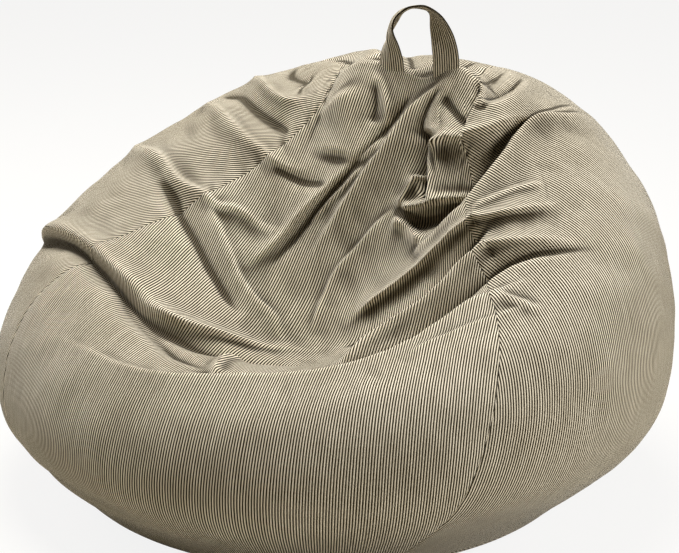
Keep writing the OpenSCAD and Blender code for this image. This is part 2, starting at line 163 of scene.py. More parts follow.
FOLDS = [
    # Two ropes of cloth that run from the right shoulder down into the seat
    Fold([(84, .63), (77, .65), (74, .665), (69, .69), (63, .725), (58, .76), (53, .772), (46, .785),
          (39, .79), (27, .795), (15, .79), (8, .78), (2, .76)], 12, 26, 21, 1.2, -10, .3),
    Fold([(80, .55), (74, .585), (71, .605), (67, .63), (63, .655), (58, .68), (51, .678), (45, .665),
          (37, .652), (29, .64), (24, .615), (20, .575), (17, .54)], 15, 22, 30, 1.35, -14, .42, .2),
    Fold([(53, .81), (48, .815), (41, .82), (34, .82), (26, .82)], 10, 7, 9, 1.2),
    Fold([(64, .70), (59, .72), (54, .733), (46, .735), (36, .735), (24, .74), (14, .74), (7, .72)],
         9, 8, -15, 1.2),
    # The deep crease under them, and the lip of the front roll beyond it
    Fold([(82, .54), (76, .565), (70, .59), (65, .613), (58, .637), (52, .643), (45, .637), (37, .622),
          (30, .60), (24, .575), (16, .56), (6, .548), (-4, .535), (-14, .52)], 7, 7, -34, 1.3, 0,
         .4, .4),
    Fold([(66, .565), (60, .58), (53, .592), (48, .597), (40, .588), (34, .573), (26, .558),
          (14, .542), (2, .522), (-9, .492), (-17, .48), (-26, .472), (-35, .46), (-45, .44)],
         24, 8, 11, 1.15, 0, .15, .35),
    Fold([(60, .54), (52, .55), (46, .556), (40, .555), (33, .54)], 14, 6, 4, 1.2),
    Fold([(54, .595), (57, .56), (60, .535)], 7, 7, 4, 1.2),
    Fold([(53, .585), (58, .555), (62, .52)], 6, 8, 4, 1.2),
    # The right shoulder
    Fold([(56, .785), (62, .765), (68, .745), (74, .72), (80, .68)], 9, 7, 5, 1.2),
    Fold([(22, .93), (27, .932), (36, .932), (54, .918), (73, .882), (90, .84), (101, .79),
          (108, .75), (113, .705), (120, .66)], 24, 17, 27, 1.2, 8, .06, .4),
    Fold([(34, .845), (44, .838), (60, .835), (74, .832), (84, .83), (94, .815), (103, .78),
          (112, .72), (122, .66)], 17, 9, -27, 1.3, 0, .2, .4),
    Fold([(36, .825), (46, .82), (60, .815), (75, .81), (84, .81), (94, .795), (101, .76),
          (108, .70), (118, .64)], 6, 26, 10, 1.3),
    Fold([(66, .94), (81, .91), (90, .888), (101, .862), (115, .825), (126, .775), (133, .73)],
         10, 18, 9, 1.4, 0, .2, .6),
    Fold([(55, .985), (80, .955), (102, .92), (117, .85), (130, .78)], 9, 7, -14, 1.3, 0, .2, .5),
    Fold([(140, .975), (110, .97), (85, .955), (70, .94)], 8, 10, 12, 1.3),
    Fold([(24, .975), (32, .962), (41, .95), (54, .94)], 6, 6, -9, 1.3),
    # The pocket where the side gore folds over the front one
    Fold([(22, .94), (25, .915), (28, .90), (30, .88), (30, .866)], 16, 6, 12, 1.4, 2, .15, .15),
    Fold([(22, .945), (21, .93), (21, .915), (22, .90)], 10, 9, -28, 1.4, 0, .1, .1),
    Fold([(25, .99), (19, .97), (17, .95), (18, .935)], 8, 8, -12, 1.3),
    Fold([(14, .878), (20, .875), (31, .866), (40, .856), (48, .842), (54, .83)], 8, 5, 14, 1.4, 4,
         .12, .15),
    Fold([(17, .864), (24, .857), (33, .847), (42, .838), (50, .829)], 9, 10, -28, 1.4),
    Fold([(13, .875), (15, .885), (18, .896), (22, .905), (27, .907)], 6, 5, 11, 1.2),
    Fold([(24, .90), (27, .872)], 4, 4, -16, 1.2),
    Fold([(11, .87), (15, .865), (21, .855), (26, .84), (30, .825)], 5, 12, 11, 1.2),
    # The rope of cloth from the strap down the back rest, and the folds beside it
    Fold([(34, .99), (22, .985), (14, .975), (8, .955), (4, .94), (0, .925), (-5, .91), (-11, .885),
          (-16, .86), (-20, .83), (-22, .80), (-24, .77)], 26, 9, 19, 1.35, 4, .1, .5),
    Fold([(12, .995), (7, .985), (2, .965), (-3, .945), (-8, .93), (-17, .90), (-24, .87),
          (-29, .835), (-32, .795), (-33, .75)], 7, 7, -11, 1.2),
    Fold([(-1, .96), (-5, .938), (-10, .922), (-16, .905), (-25, .875), (-33, .83), (-36, .785),
          (-37, .75), (-38, .71)], 8, 18, 15, 1.2),
    Fold([(-8, .915), (-15, .895), (-23, .865), (-29, .83)], 5, 5, 5, 1.2),
    Fold([(14, .88), (6, .868), (-2, .845), (-8, .82), (-9, .79), (-8, .77), (-6, .74)],
         22, 6, 8, 1.3, 2),
    Fold([(-24, .995), (-12, .985), (-6, .97), (-3, .955), (-2, .94)], 8, 9, 9, 1.3),
    Fold([(-14, .985), (-12, .965), (-11, .945)], 8, 8, -6, 1.4),
    Fold([(-34, .975), (-28, .955), (-25, .93), (-25, .90)], 30, 30, 10, 2),
    # The left shoulder
    Fold([(-130, .61), (-122, .63), (-113, .67), (-102, .745), (-89, .815), (-81, .86), (-78, .895),
          (-76, .94)], 20, 14, 15, 1.25, 3, .6),
    Fold([(-124, .71), (-113, .75), (-108, .79), (-104, .83), (-98, .89)], 18, 16, -11, 1.6, 0, .5),
    Fold([(-107, .625), (-101, .69), (-86, .77), (-72, .825), (-60, .86)], 13, 14, -12, 1.5),
    Fold([(-121, .565), (-112, .58), (-105, .615), (-89, .70), (-73, .765), (-65, .795), (-54, .825),
          (-42, .86), (-32, .875)], 16, 16, 10, 1.25, 0, .55),
    Fold([(-58, .805), (-47, .835), (-40, .85), (-32, .866), (-24, .88)], 12, 10, -5, 1.4),
    # The left bank of the seat
    Fold([(-108, .525), (-98, .54), (-92, .555), (-85, .585), (-78, .62), (-68, .65), (-62, .68),
          (-57, .70), (-54, .725), (-50, .745), (-44, .765), (-38, .79), (-34, .80)],
         15, 15, 12, 1.25, 0, .5),
    Fold([(-60, .685), (-55, .69), (-47, .698), (-41, .70), (-36, .702), (-27, .71), (-21, .718),
          (-16, .715), (-10, .705)], 12, 20, 13, 1.3),
    Fold([(-72, .62), (-66, .638), (-58, .65), (-50, .663), (-42, .672), (-33, .68), (-24, .68)],
         14, 14, -13, 1.5),
    Fold([(-42, .56), (-34, .567), (-26, .573), (-18, .592), (-10, .617), (-3, .643), (5, .668)],
         12, 17, -22, 1.4, 0, .15, .3),
    Fold([(-80, .43), (-74, .458), (-67, .495), (-58, .53), (-49, .548), (-42, .558),
          (-36, .564), (-29, .565), (-22, .562), (-16, .553), (-10, .545), (-4, .535)],
         8, 15, -34, 1.2, 0, .25, .3),
    Fold([(-112, .33), (-100, .365), (-88, .413), (-78, .46), (-68, .503), (-60, .533), (-50, .556),
          (-42, .568), (-32, .58), (-26, .592), (-22, .608), (-18, .632), (-14, .66), (-8, .695),
          (-2, .713), (6, .735)], 26, 10, 18, 1.5, 10, .45, .3),
    Fold([(-128, .37), (-100, .395), (-78, .43)], 44, 44, 22, 2, 0, .4, .4),
    Fold([(-3, .52), (-6, .555), (-8, .59), (-6, .62)], 9, 8, 9, 1.3),
    # The back, where the cloth is gathered under the top seam and creases over the base
    Fold([(128, .975), (132, .93), (135, .86), (138, .78)], 16, 12, -9, 1.5, 0, .1, .6),
    Fold([(150, .975), (154, .93), (157, .87), (160, .78), (161, .70)], 10, 10, -8, 1.4, 0, .1, .6),
    Fold([(163, .975), (168, .93), (172, .88), (177, .80), (181, .72)], 16, 16, 8, 1.6, 0, .1, .6),
    Fold([(176, .98), (181, .94), (186, .89), (192, .82), (198, .73), (203, .66)], 12, 10, -9, 1.4,
         0, .1, .6),
    Fold([(196, .97), (202, .93), (208, .88), (216, .80), (224, .70)], 18, 14, 8, 1.6, 0, .1, .6),
    Fold([(212, .97), (218, .93), (226, .86), (236, .76)], 12, 10, -9, 1.5, 0, .1, .6),
    Fold([(150, .50), (165, .48), (180, .485), (196, .47)], 22, 14, -6, 1.7, 0, .4, .4),
    Fold([(205, .36), (222, .34), (238, .35), (252, .33)], 20, 14, -6, 1.7, 0, .4, .4),
    Fold([(100, .30), (118, .28), (134, .29), (150, .27)], 20, 14, -5, 1.7, 0, .4, .4),
    Fold([(172, .22), (190, .21), (210, .22)], 18, 14, -5, 1.7, 0, .4, .4),
    Fold([(-60, .20), (-40, .19), (-20, .20), (4, .19)], 20, 16, -4, 1.8, 0, .4, .4),
]


def smooth_step(x):
    x = np.clip(x, 0, 1)
    return x * x * (3 - 2 * x)


STEPS_PER_SPAN = 8


def through(points):
    """A smooth line through points, as (bearing, rise) rows."""
    p = np.array(points, float)
    if len(p) == 2:
        return p[0] + (p[1] - p[0]) * np.linspace(0, 1, STEPS_PER_SPAN + 1)[:, None]
    p = np.concatenate([[2 * p[0] - p[1]], p, [2 * p[-1] - p[-2]]])
    rows = []
    for a, b, c, d in zip(p, p[1:], p[2:], p[3:]):
        f = np.linspace(0, 1, STEPS_PER_SPAN, endpoint=False)[:, None]
        rows.append(b + f / 2 * (c - a + f * (2 * a - 5 * b + 4 * c - d + f * (3 * b - a - 3 * c + d))))
    return np.concatenate(rows + [p[-2:-1]])


def add_fold(fold, points, normals, moved):
    """Adds a fold's shift to the rows of moved."""
    line = through(fold.line)
    path = skin(line[:, 0], line[:, 1])
    reach = 3.2 * max(fold.left, fold.right) * MM
    low, high = path.min(0) - reach, path.max(0) + reach
    near = np.nonzero(((points > low) & (points < high)).all(-1))[0]
    if not len(near):
        return
    p = points[near]
    span = np.diff(path, axis=0)
    length = np.linalg.norm(span, axis=-1)
    total = np.concatenate([[0], np.cumsum(length)])
    best = np.full(len(p), np.inf)
    along = np.zeros(len(p))
    nearest = np.zeros_like(p)
    heading = np.zeros_like(p)
    for a, s, l, before in zip(path, span, length, total):
        f = np.clip((p - a) @ s / (l * l), 0, 1)
        foot = a + f[:, None] * s
        gap = np.linalg.norm(p - foot, axis=-1)
        closer = gap < best
        best[closer] = gap[closer]
        along[closer] = before + f[closer] * l
        nearest[closer] = foot[closer]
        heading[closer] = s / l
    right = np.cross(heading, normals[near])
    offset = ((p - nearest) * right).sum(-1)
    # The half width changes smoothly from one side to the other
    blend = 0.5 + 0.5 * np.clip(offset / np.maximum(best, 1e-6), -1, 1)
    half = (fold.left + (fold.right - fold.left) * blend) * MM
    u = best / half
    core = 0.12
    shape = np.exp(-((u * u + core * core) ** (fold.sharp / 2)) + core**fold.sharp)
    part = along / total[-1]
    shape = shape * smooth_step(part / fold.start) * smooth_step((1 - part) / fold.end)
    moved[near] += normals[near] * (fold.height * MM * shape)[:, None]
    if fold.lean:
        moved[near] += unit(right) * (fold.lean * MM * shape)[:, None]


CROWN = [((-35, 178), 17, 55), ((140, 178), 32, 36), ((72, 178), -6, 20)]


def crown_lift(points):
    """How far lumps along the top seam lift each point."""
    lift = np.zeros(points.shape[:-1])
    for middle, height, width in CROWN:
        gap = np.linalg.norm(points[..., :2] - np.array(middle) * MM, axis=-1) / (width * MM)
        lift += height * MM * np.exp(-gap * gap)
    return lift * smooth_step((points[..., 2] - 0.40) / 0.1)


def waves(points, wavelength, count, seed):
    """Smooth noise of about -1 to 1 at each point: a sum of sines in all directions."""
    rng = np.random.default_rng(seed)
    total = np.zeros(points.shape[:-1])
    for _ in range(count):
        heading = rng.normal(size=3)
        heading *= 2 * math.pi / wavelength * rng.uniform(0.7, 1.4) / np.linalg.norm(heading)
        total += np.sin(points @ heading + rng.uniform(0, 2 * math.pi))
    return total / math.sqrt(count)


# --- The gores --------------------------------------------------------------------------------------

LINER_ROOM = 19 * MM
# How strongly the bend of the cloth drives the painted shade in its creases and the painted highlight on its
# crests
BEND_REACH_FOR_PAINTED_LIGHT = 5.4 * MM
SEAM_TUCK = 1.3 * MM
SEAM_FALL = 3.5 * MM
PUCKER = 0.6 * MM
PUCKER_PITCH = 24 * MM
TEETH = 388  # on each side of the cover's zip


class Gore(NamedTuple):
    name: str
    seam_a: tuple
    seam_b: tuple
    rows: int
    columns: int
    pointed: bool
    first: float
    turn: float  # of the ribs from the line between its two ends, degrees
    flat: tuple  # width and length of its pattern with 10 mm of seam allowance, metres
    area: float


GORES = [
    Gore("front_gore", SEAMS["front_left"], SEAMS["front_right"], 340, 250, False, 0, 0,
         (0.78, 1.07), 0.63),
    Gore("right_gore", SEAMS["front_right"], SEAMS["back_right"], 300, 240, True, 0, 0,
         (0.71, 0.94), 0.48),
    Gore("back_gore", SEAMS["back_right"], SEAMS["back_left"], 190, 150, False, 3 / 48, 0,
         (0.73, 0.80), 0.45),
    Gore("left_gore", SEAMS["back_left"], [a + 360 for a in SEAMS["front_left"]], 300, 240, True, 0, 0,
         (0.71, 0.95), 0.45),
]
NODE_OF = {"front_gore": "front_panel", "right_gore": "right_side_panel", "back_gore": "back_panel",
           "left_gore": "left_side_panel"}


def row_rises(rows, first):
    """Rises of the rows, closer together where the folds are."""
    t = np.linspace(0, 1, 400)
    density = 0.45 + smooth_step((t - 0.35) / 0.15) - 0.2 * smooth_step((t - 0.9) / 0.1)
    total = np.concatenate([[0], np.cumsum((density[1:] + density[:-1]) / 2)])
    rises = np.interp(np.linspace(0, total[-1], rows + 1), total, t)
    return first + (1 - first) * rises


def cloth_points(bearing, rise, seam_gap, seam_run, depth):
    """The folded skin. seam_gap is the distance to the nearest seam and seam_run the way along it."""
    shape = bearing.shape
    flat = skin(bearing, rise)
    normals = outward(bearing, rise)
    points = flat.reshape(-1, 3)
    n = normals.reshape(-1, 3)
    moved = np.zeros_like(points)
    turned = np.stack([(bearing.ravel() + 180) % 360 - 180, rise.ravel()], -1)
    for fold in FOLDS:
        add_fold(fold, points, n, moved)
    relief = 3.0 * MM * waves(points, 0.32, 10, 3) + 1.6 * MM * waves(points, 0.11, 14, 5)
    relief += 0.5 * MM * waves(points, 0.045, 18, 8)
    quiet = 0.35 + 0.65 * smooth_step((rise.ravel() - 0.3) / 0.2)
    moved += n * (relief * quiet)[:, None]
    # The inner bag holds the cloth out
    inward = -(moved * n).sum(-1)
    moved += n * (np.maximum(inward, 0) - LINER_ROOM * np.tanh(np.maximum(inward, 0) / LINER_ROOM))[:, None]
    fade = smooth_step((1 - rise.ravel()) / 0.04) * smooth_step(rise.ravel() / 0.08)
    moved *= fade[:, None] * depth
    gap = seam_gap.ravel()
    run = seam_run.ravel()
    pucker = np.sin(2 * math.pi * run / PUCKER_PITCH + 2 * waves(points, 0.15, 6, 11))
    tuck = -SEAM_TUCK * np.exp(-gap / SEAM_FALL)
    tuck += PUCKER * pucker * np.exp(-gap / (2.5 * SEAM_FALL)) * (1 - np.exp(-gap / (SEAM_FALL / 2)))
    moved += n * (tuck * smooth_step(turned[:, 1] / 0.05))[:, None]
    moved[:, 2] += crown_lift(points)
    return (points + moved).reshape(shape + (3,))


def arc_length(points, axis):
    """Running length of the rows of points along an axis, from 0."""
    steps = np.linalg.norm(np.diff(points, axis=axis), axis=-1)
    pad = [(0, 0), (0, 0)]
    pad[axis] = (1, 0)
    return np.pad(np.cumsum(steps, axis=axis), pad)


def corners(grid):
    """The four corners of each cell of a grid, in order round the cell."""
    return np.stack([grid[:-1, :-1], grid[:-1, 1:], grid[1:, 1:], grid[1:, :-1]], 2)


def gather(cells):
    """Adds what the cells pull at their corners up for each point of the grid."""
    total = np.zeros((cells.shape[0] + 1, cells.shape[1] + 1, 2))
    total[:-1, :-1] += cells[:, :, 0]
    total[:-1, 1:] += cells[:, :, 1]
    total[1:, 1:] += cells[:, :, 2]
    total[1:, :-1] += cells[:, :, 3]
    return total


def centred(cells):
    return cells - cells.mean(2, keepdims=True)


def laid_flat(points, uv, rounds, steps=24):
    """Moves uv until each cell is close to the true shape of its four points."""
    cells = centred(corners(points))
    side = unit(cells[:, :, 1] + cells[:, :, 2])
    up = unit(cells[:, :, 2] + cells[:, :, 3])
    normal = unit(np.cross(side, up))
    flat = np.stack([(cells * axis[:, :, None]).sum(-1) for axis in (side, np.cross(normal, side))], -1)
    for _ in range(rounds):
        now = centred(corners(uv))
        same = (now * flat).sum((-1, -2))
        cross = (now[..., 1] * flat[..., 0] - now[..., 0] * flat[..., 1]).sum(-1)
        size = np.maximum(np.hypot(same, cross), 1e-15)
        c, s = (same / size)[..., None], (cross / size)[..., None]
        wanted = np.stack([c * flat[..., 0] - s * flat[..., 1], s * flat[..., 0] + c * flat[..., 1]], -1)
        # Conjugate gradients
        left = gather(wanted - now)
        step = left.copy()
        power = (left * left).sum()
        for _ in range(steps):
            pull = gather(centred(corners(step)))
            length = power / max((step * pull).sum(), 1e-30)
            uv = uv + length * step
            left = left - length * pull
            before, power = power, (left * left).sum()
            step = left + power / max(before, 1e-30) * step
    return uv


def resampled(grid, rows, columns):
    by_row = spline(grid, np.linspace(0, 1, rows))
    return spline(by_row.transpose(1, 0, 2), np.linspace(0, 1, columns)).transpose(1, 0, 2)


def flatten(points, uv, turn):
    """The pattern of a grid of points: laid out flat, upright and with as little stretch as it can."""
    for every, rounds in ((10, 60), (5, 20), (2, 12)):
        coarse = points[::every, ::every]
        uv = laid_flat(coarse, resampled(uv, *coarse.shape[:2]), rounds)
    middle = uv.shape[1] // 2
    heading = uv[-1, middle] - uv[0, middle]
    angle = math.atan2(heading[0], heading[1]) + math.radians(turn)
    c, s = math.cos(angle), math.sin(angle)
    uv = np.stack([c * uv[..., 0] - s * uv[..., 1], s * uv[..., 0] + c * uv[..., 1]], -1)
    return resampled(uv, *points.shape[:2])


def padded_steps(points, step):
    """The four neighbours of each point of a grid that many steps away."""
    wide = np.pad(points, ((step, step), (step, step), (0, 0)), mode="edge")
    return (wide[2 * step:, step:-step], wide[:-2 * step, step:-step],
            wide[step:-step, 2 * step:], wide[step:-step, :-2 * step])


def ridges(points, inner):
    """How sharply the cloth bends outwards at each point: less than 0 in a crease."""
    up, down, right, left = padded_steps(points, 1)
    normal = unit(np.cross(right - left, up - down))
    total = 0
    for step in (1, 3):
        near = padded_steps(points, step)
        gap = sum(np.linalg.norm(place - points, axis=-1) for place in near) / 4
        hollow = ((sum(near) / 4 - points) * normal).sum(-1)
        total = total - 2 * hollow / np.maximum(gap, MM) ** 2 * BEND_REACH_FOR_PAINTED_LIGHT * step
    for _ in range(2):
        total = (total + sum(padded_steps(total[..., None], 1))[..., 0]) / 5
    edge = max(inner, 1)
    total[:edge] = total[edge]
    total[-edge:] = total[-edge - 1]
    total[:, :edge] = total[:, edge:edge + 1]
    total[:, -edge:] = total[:, -edge - 1:-edge]
    return total


def gore_grid(gore, depth):
    """(points, pattern) of a gore: points in metres and pattern (across, along) in metres."""
    rise = row_rises(gore.rows, gore.first)
    a, b = spline(gore.seam_a, rise), spline(gore.seam_b, rise)
    part = np.linspace(0, 1, gore.columns + 1)
    bearing = a[:, None] + (b - a)[:, None] * part[None]
    rise = np.repeat(rise[:, None], gore.columns + 1, 1)
    base = skin(bearing, rise)
    run = arc_length(base, 0)
    across = arc_length(base, 1)
    gap = np.minimum(across, across[:, -1:] - across)
    points = cloth_points(bearing, rise, gap, run, depth)
    middle = gore.columns // 2
    guess = np.stack([across - across[:, middle:middle + 1],
                      np.repeat(run[:, middle:middle + 1], gore.columns + 1, 1)], -1)
    pattern = flatten(points, guess, gore.turn)
    return points, pattern


def grid_mesh(name, points, pattern, pointed=False, folded=False):
    """A mesh of quads from a grid of points, with its pattern as a UV map. Up is outwards.

    The point attribute ridge of folded cloth tells how sharply it bends outwards at each point; the cloth's
    material paints shade in the creases and a highlight on the crests from it.
    """
    rows, columns = points.shape[:2]
    index = np.arange(rows * columns).reshape(rows, columns)
    verts = points.reshape(-1, 3)
    if pointed:
        index[-1] = index[-1, 0]
        verts = verts[: index[-1, 0] + 1]
    faces = []
    for r in range(rows - 1):
        for c in range(columns - 1):
            a, b, d, e = index[r, c], index[r, c + 1], index[r + 1, c + 1], index[r + 1, c]
            faces.append((a, b, d) if d == e else (a, b, d, e))
    mesh = bpy.data.meshes.new(name)
    mesh.from_pydata([tuple(v) for v in verts], [], faces)
    uv = mesh.uv_layers.new(name="pattern")
    flat = pattern.reshape(-1, 2)
    grid = np.arange(rows * columns).reshape(rows, columns)
    rows_uv = []
    for r in range(rows - 1):
        for c in range(columns - 1):
            corners = [grid[r, c], grid[r, c + 1], grid[r + 1, c + 1]]
            if not (pointed and r == rows - 2):
                corners.append(grid[r + 1, c])
            rows_uv.extend(corners)
    uv.data.foreach_set("uv", flat[rows_uv].astype(np.float32).ravel())
    if folded:
        ridge = mesh.attributes.new("ridge", "FLOAT", "POINT")
        ridge.data.foreach_set("value", ridges(points, 3).ravel()[: len(verts)].astype(np.float32))
    mesh.polygons.foreach_set("use_smooth", [True] * len(mesh.polygons))
    mesh.update()
    piece = bpy.data.objects.new(name, mesh)
    bpy.context.collection.objects.link(piece)
    return piece


def finish_modifiers(piece):
    """Turns a piece's modifiers into plain mesh."""
    graph = bpy.context.evaluated_depsgraph_get()
    mesh = bpy.data.meshes.new_from_object(piece.evaluated_get(graph), depsgraph=graph)
    piece.modifiers.clear()
    old = piece.data
    piece.data = mesh
    mesh.name = piece.name
    bpy.data.meshes.remove(old)


# --- The strap --------------------------------------------------------------------------------------

STRAP_MIDDLE = (66, 178, 578)  # mm
STRAP_THICKNESS = 3.6
# Each station: along the seam, back, up and width in mm, turn and lift of the strap's width in
# degrees, and the depth in mm of the crease along its middle
STRAP = [
    (-43, 0, -12, 40, 0, 0, 1), (-43, 0, 2, 40, 0, 0, 2), (-43, 0, 18, 38, 6, 0, 4),
    (-42, 0, 34, 35, 24, 0, 8), (-40, -1, 52, 30, 58, 0, 9), (-37, -2, 68, 26, 84, 2, 7),
    (-32, -3, 80, 30, 84, 2, 4), (-22, -3, 89, 34, 78, 6, 2), (-10, -2, 94, 36, 72, 16, 1),
    (4, -1, 96, 38, 66, 18, 1), (15, 0, 93, 39, 56, 14, 1), (24, 0, 85, 39, 40, 8, 2),
    (31, 0, 72, 38, 22, 3, 3), (37, 0, 56, 39, 8, 0, 3), (42, 0, 38, 40, -2, 0, 2),
    (44, 0, 20, 40, -5, 0, 1), (44, 0, 2, 40, -3, 0, 1), (44, 0, -12, 40, -3, 0, 1),
]


def strap_grid(rows=130, half_columns=22):
    """(points, pattern) of the strap, a flat tube of cloth."""
    t = np.linspace(0, 1, rows + 1)
    station = spline(STRAP, t)
    middle = (np.array(STRAP_MIDDLE) + station[:, :3]) * MM
    along = unit(np.gradient(middle, axis=0))
    turn, lift = np.radians(station[:, 4]), np.radians(station[:, 5])
    raw = np.stack([np.cos(turn) * np.cos(lift), -np.sin(turn) * np.cos(lift), np.sin(lift)], -1)
    across = unit(raw - along * (raw * along).sum(-1, keepdims=True))
    face = np.cross(along, across)
    angle = np.linspace(0, 2 * math.pi, 2 * half_columns + 1)
    side = np.sign(np.cos(angle)) * np.abs(np.cos(angle)) ** 0.7
    out = np.sign(np.sin(angle)) * np.abs(np.sin(angle)) ** 0.35
    crease = 1 - np.abs(side) ** 0.8
    width = station[:, 3:4] * MM / 2
    hem = 0.5 * np.exp(-(((np.abs(side) - 0.84) / 0.05) ** 2))
    high = STRAP_THICKNESS * MM / 2 * out * (1 - hem) - station[:, 6:7] * MM * crease
    ripple = 0.5 * MM * np.sin(t * 52)[:, None] * np.sin(3 * side + 9 * t[:, None])
    points = middle[:, None] + across[:, None] * (width * side)[..., None]
    points = points + face[:, None] * (high + ripple)[..., None]
    run = np.cumsum(np.linalg.norm(np.diff(middle, axis=0, prepend=middle[:1]), axis=-1))
    flat_side = 20 * MM * side * np.where(out < 0, -1, 1) + np.where(out < 0, 40 * MM, 0)
    pattern = np.stack(np.broadcast_arrays(flat_side[None], run[:, None]), -1)
    return points, pattern


# --- The base and the inner bag ---------------------------------------------------------------------

BASE_FLAT = 314.6 * MM
BASE_ARC = 73.4 * MM
DRAWN_TO = np.array([15, 20, 0]) * MM
LINER_SCALE = (0.91, 0.91, 0.87)
BEAD_SCALE = (0.888, 0.888, 0.825)


def base_grid(turns=180):
    """(points, pattern) of the round base, from its middle to its seam."""
    arc = np.radians(np.linspace(0, 45, 9))
    out = np.concatenate([np.linspace(0, BASE_FLAT, 30)[:-1], BASE_FLAT + BASE_ARC * np.sin(arc)])
    up = np.concatenate([np.zeros(29), BASE_ARC * (1 - np.cos(arc))])
    bearing = np.linspace(0, 2 * math.pi, turns + 1)[None]
    x, y = out[:, None] * np.sin(bearing), -out[:, None] * np.cos(bearing)
    points = np.stack([x, y, np.repeat(up[:, None], turns + 1, 1)], -1)
    slack = 0.5 + 0.5 * waves(points, 0.12, 8, 21)
    points[..., 2] += 1.2 * MM * slack * smooth_step((BASE_FLAT - out[:, None]) / 0.1)
    return points, points[..., :2]


def drawn_in(points, scale):
    return DRAWN_TO + (points - DRAWN_TO) * scale


def bag_grid(start, end, scale, rows, columns, wrinkle, seed):
    """(points, pattern) of part of a smaller bag inside the skin."""
    rise = np.repeat(np.linspace(0, 1, rows + 1)[:, None], columns + 1, 1)
    bearing = np.repeat(np.linspace(start, end, columns + 1)[None], rows + 1, 0)
    points = drawn_in(skin(bearing, rise), scale)
    inward = wrinkle * (waves(points, 0.09, 12, seed) - 1.5)
    fade = smooth_step((1 - rise) / 0.1) * smooth_step(rise / 0.1)
    points = points + outward(bearing, rise) * (inward * fade)[..., None]
    return points, np.stack([arc_length(points, 1), arc_length(points, 0)], -1)


# --- The zip ----------------------------------------------------------------------------------------

ZIP_RADIUS = 375
ZIP_HEIGHT = 30
ZIP_START = 45.5
ZIP_SPAN = 89
STOP_TURN = 0.6
SLOPE = math.sqrt(0.5)


def zip_point(up, out, along=0.0):
    """A point of the zip's section on the X axis: up its slope, out of the cloth and along it, mm."""
    radius = ZIP_RADIUS + (up + out) * SLOPE
    return (radius * MM, along * MM, (ZIP_HEIGHT + (up - out) * SLOPE) * MM)


def box_item(name, sections):
    """A small closed piece lofted through sections of (up, half width, inner, outer) in mm."""
    verts = []
    for up, half, inner, outer in sections:
        verts += [zip_point(up, o, w) for w, o in ((-half, inner), (half, inner), (half, outer),
                                                   (-half, outer))]
    last = len(verts) - 4
    faces = [(3, 2, 1, 0), (last, last + 1, last + 2, last + 3)]
    for first in range(0, last, 4):
        for k in range(4):
            faces.append((first + k, first + (k + 1) % 4, first + 4 + (k + 1) % 4, first + 4 + k))
    mesh = bpy.data.meshes.new(name)
    mesh.from_pydata(verts, [], faces)
    mesh.update()
    piece = bpy.data.objects.new(name, mesh)
    bpy.context.collection.objects.link(piece)
    return piece


def arc_group():
    """Geometry nodes that repeat a piece about the Z axis."""
    if "repeat_round" in bpy.data.node_groups:
        return bpy.data.node_groups["repeat_round"]
    group = bpy.data.node_groups.new("repeat_round", "GeometryNodeTree")
    face = group.interface
    face.new_socket("Geometry", in_out="INPUT", socket_type="NodeSocketGeometry")
    for label, kind in (("Count", "Int"), ("Start", "Float"), ("Span", "Float"), ("Material", "Material")):
        face.new_socket(label, in_out="INPUT", socket_type="NodeSocket" + kind)
    face.new_socket("Geometry", in_out="OUTPUT", socket_type="NodeSocketGeometry")
    new = group.nodes.new
    link = group.links.new
    given = new("NodeGroupInput")
    points = new("GeometryNodePoints")
    link(given.outputs["Count"], points.inputs["Count"])
    index = new("GeometryNodeInputIndex")
    part = new("ShaderNodeMath")
    part.operation = "DIVIDE"
    link(index.outputs[0], part.inputs[0])
    link(given.outputs["Count"], part.inputs[1])
    angle = new("ShaderNodeMath")
    angle.operation = "MULTIPLY_ADD"
    link(part.outputs[0], angle.inputs[0])
    link(given.outputs["Span"], angle.inputs[1])
    link(given.outputs["Start"], angle.inputs[2])
    turn = new("ShaderNodeCombineXYZ")
    link(angle.outputs[0], turn.inputs["Z"])
    place = new("GeometryNodeInstanceOnPoints")
    link(points.outputs[0], place.inputs["Points"])
    link(given.outputs["Geometry"], place.inputs["Instance"])
    link(turn.outputs[0], place.inputs["Rotation"])
    whole = new("GeometryNodeRealizeInstances")
    link(place.outputs[0], whole.inputs[0])
    paint = new("GeometryNodeSetMaterial")
    link(whole.outputs[0], paint.inputs["Geometry"])
    link(given.outputs["Material"], paint.inputs["Material"])
    result = new("NodeGroupOutput")
    link(paint.outputs[0], result.inputs[0])
    return group


def repeat_round(piece, count, start, span, material):
    """Repeats a piece about the Z axis, start and span in degrees."""
    group = arc_group()
    repeat = piece.modifiers.new("repeat", "NODES")
    repeat.node_group = group
    values = {"Count": count, "Start": math.radians(start), "Span": math.radians(span),
              "Material": material}
    for item in group.interface.items_tree:
        if item.in_out == "INPUT" and item.name in values:
            repeat[item.identifier] = values[item.name]
    finish_modifiers(piece)
    put_material(piece, material)


# --- Materials --------------------------------------------------------------------------------------


